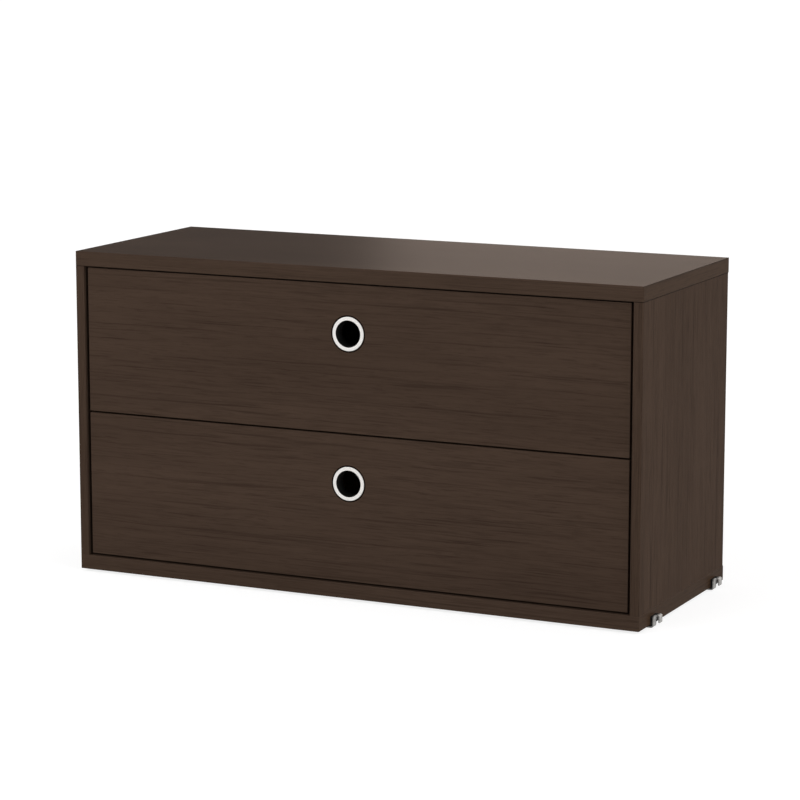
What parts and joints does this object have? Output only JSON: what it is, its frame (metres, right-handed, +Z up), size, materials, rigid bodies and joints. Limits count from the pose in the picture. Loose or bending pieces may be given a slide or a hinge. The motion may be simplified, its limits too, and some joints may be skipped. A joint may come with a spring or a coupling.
{
  "type": "drawer cabinet",
  "caption": "Low, wide cabinet with full-width inset drawers on ball-bearing runners, round finger-hole pulls, and hooks at its lower sides that hang it on ladder rungs.",
  "frame": {"origin": "under the middle of the cabinet, at the level of the hook feet", "axes": "+X to the right across the front, +Y to the back, +Z up; the drawers open along -Y"},
  "size_m": [0.7962, 0.3, 0.4213],
  "materials": {
    "stained_veneer": "dark brown stain, satin lacquer",
    "stained_back": "dark brown stain, satin lacquer",
    "birch": "clear satin lacquer",
    "birch_ply": "clear satin lacquer",
    "beech": "plain",
    "white_enamel": "white enamel, satin",
    "black_plastic": "matte",
    "hook_steel": "satin nickel",
    "runner_steel": "bright zinc",
    "cage_steel": "bright zinc",
    "ball_steel": "polished",
    "screw_steel": "bright zinc",
    "rubber": "matte"
  },
  "bodies": {
    "cabinet": {"top_panel": "stained_veneer", "bottom_panel": "stained_veneer", "left_side_panel": "stained_veneer", "right_side_panel": "stained_veneer", "back_panel": "stained_back", "shell_dowels": "beech", "front_left_hook": "hook_steel", "front_right_hook": "hook_steel", "back_left_hook": "hook_steel", "back_right_hook": "hook_steel", "hook_pads": "black_plastic", "hook_screws": "screw_steel", "rail_bumpers": "rubber", "lower_left_cabinet_rail": "runner_steel", "lower_right_cabinet_rail": "runner_steel", "lower_cabinet_rail_screws": "screw_steel", "upper_left_cabinet_rail": "runner_steel", "upper_right_cabinet_rail": "runner_steel", "upper_cabinet_rail_screws": "screw_steel"},
    "lower_drawer": {"lower_drawer_front": "stained_veneer", "lower_drawer_left_side": "birch", "lower_drawer_right_side": "birch", "lower_drawer_back": "birch", "lower_drawer_bottom": "birch_ply", "lower_drawer_dowels": "beech", "lower_pull_ring": "white_enamel", "lower_pull_sleeve": "black_plastic", "lower_left_drawer_rail": "runner_steel", "lower_right_drawer_rail": "runner_steel", "lower_drawer_rail_screws": "screw_steel"},
    "lower_middle_rails": {"lower_left_middle_rail": "runner_steel", "lower_right_middle_rail": "runner_steel"},
    "lower_outer_cages": {"lower_left_outer_cage": "cage_steel", "lower_right_outer_cage": "cage_steel", "lower_outer_balls": "ball_steel"},
    "lower_inner_cages": {"lower_left_inner_cage": "cage_steel", "lower_right_inner_cage": "cage_steel", "lower_inner_balls": "ball_steel"},
    "upper_drawer": {"upper_drawer_front": "stained_veneer", "upper_drawer_left_side": "birch", "upper_drawer_right_side": "birch", "upper_drawer_back": "birch", "upper_drawer_bottom": "birch_ply", "upper_drawer_dowels": "beech", "upper_pull_ring": "white_enamel", "upper_pull_sleeve": "black_plastic", "upper_left_drawer_rail": "runner_steel", "upper_right_drawer_rail": "runner_steel", "upper_drawer_rail_screws": "screw_steel"},
    "upper_middle_rails": {"upper_left_middle_rail": "runner_steel", "upper_right_middle_rail": "runner_steel"},
    "upper_outer_cages": {"upper_left_outer_cage": "cage_steel", "upper_right_outer_cage": "cage_steel", "upper_outer_balls": "ball_steel"},
    "upper_inner_cages": {"upper_left_inner_cage": "cage_steel", "upper_right_inner_cage": "cage_steel", "upper_inner_balls": "ball_steel"}
  },
  "joints": [
    {"name": "lower_drawer_slide", "type": "slide", "parent": "cabinet", "child": "lower_drawer", "axis": [0, -1, 0], "range_m": [0, 0.25]},
    {"name": "lower_middle_rails_slide", "type": "slide", "parent": "cabinet", "child": "lower_middle_rails", "axis": [0, -1, 0], "range_m": [0, 0.125]},
    {"name": "lower_outer_cages_slide", "type": "slide", "parent": "cabinet", "child": "lower_outer_cages", "axis": [0, -1, 0], "range_m": [0, 0.0625]},
    {"name": "lower_inner_cages_slide", "type": "slide", "parent": "cabinet", "child": "lower_inner_cages", "axis": [0, -1, 0], "range_m": [0, 0.1875]},
    {"name": "upper_drawer_slide", "type": "slide", "parent": "cabinet", "child": "upper_drawer", "axis": [0, -1, 0], "range_m": [0, 0.25]},
    {"name": "upper_middle_rails_slide", "type": "slide", "parent": "cabinet", "child": "upper_middle_rails", "axis": [0, -1, 0], "range_m": [0, 0.125]},
    {"name": "upper_outer_cages_slide", "type": "slide", "parent": "cabinet", "child": "upper_outer_cages", "axis": [0, -1, 0], "range_m": [0, 0.0625]},
    {"name": "upper_inner_cages_slide", "type": "slide", "parent": "cabinet", "child": "upper_inner_cages", "axis": [0, -1, 0], "range_m": [0, 0.1875]}
  ],
  "couplings": [
    {"joint": "lower_middle_rails_slide", "follows": "lower_drawer_slide", "ratio": 0.5},
    {"joint": "lower_outer_cages_slide", "follows": "lower_drawer_slide", "ratio": 0.25},
    {"joint": "lower_inner_cages_slide", "follows": "lower_drawer_slide", "ratio": 0.75},
    {"joint": "upper_middle_rails_slide", "follows": "upper_drawer_slide", "ratio": 0.5},
    {"joint": "upper_outer_cages_slide", "follows": "upper_drawer_slide", "ratio": 0.25},
    {"joint": "upper_inner_cages_slide", "follows": "upper_drawer_slide", "ratio": 0.75}
  ]
}
